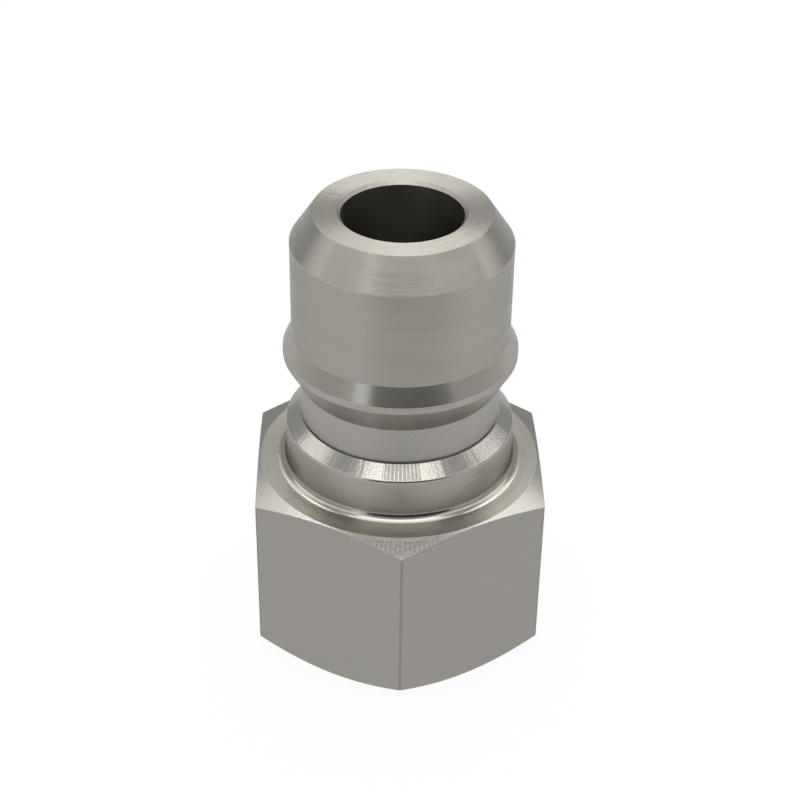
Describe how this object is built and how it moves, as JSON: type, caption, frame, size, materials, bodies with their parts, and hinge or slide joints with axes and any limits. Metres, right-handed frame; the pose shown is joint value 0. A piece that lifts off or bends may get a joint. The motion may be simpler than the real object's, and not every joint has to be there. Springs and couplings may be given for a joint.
{
  "type": "pressure washer quick connector plug",
  "caption": "Male plug of a quick connector: a bored nose with a locking ridge and a ball groove, above a wrench hexagon with a threaded inlet.",
  "frame": {"origin": "middle of the hexagon's end face, which the plug stands on", "axes": "+Z along the plug's axis from the inlet to the nose, +X normal to one of the hexagon's flats"},
  "size_m": [0.0254, 0.0292, 0.0415],
  "materials": {
    "stainless_steel": "fine turned on the round steps, matte drawn flats"
  },
  "bodies": {
    "root": {"plug_body": "stainless_steel"}
  },
  "joints": []
}
